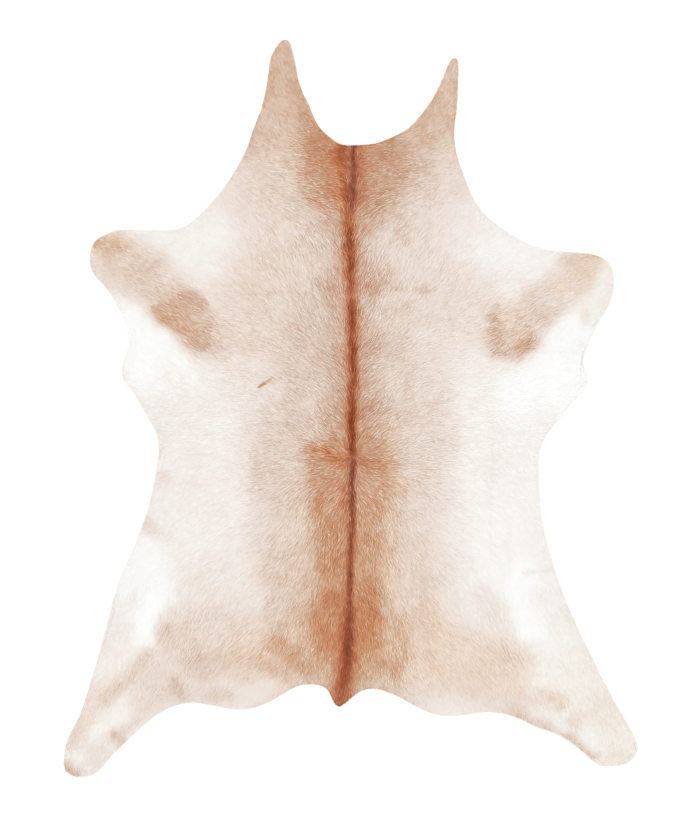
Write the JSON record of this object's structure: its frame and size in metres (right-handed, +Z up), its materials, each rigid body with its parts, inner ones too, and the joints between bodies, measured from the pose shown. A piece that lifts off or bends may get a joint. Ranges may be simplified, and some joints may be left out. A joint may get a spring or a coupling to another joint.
{
  "type": "calfskin",
  "caption": "Whole hair-on calfskin laid flat, hair side up: pale roan coat with a russet spine, cheek points, spread legs and a tail stub; a floor rug, throw or cover.",
  "frame": {"origin": "middle of the skin's outline box, on the floor under it", "axes": "+Y along the spine towards the neck, +X to the side that is on the right seen from above with the neck up, +Z up out of the hair"},
  "size_m": [0.7122, 0.914, 0.0086],
  "materials": {
    "hair_coat": "short glossy hair, roan cream and tan with a russet spine",
    "flesh_side": "suede-like tanned skin with a plain cut edge"
  },
  "bodies": {
    "root": {"calfskin": "hair_coat"}
  },
  "joints": []
}
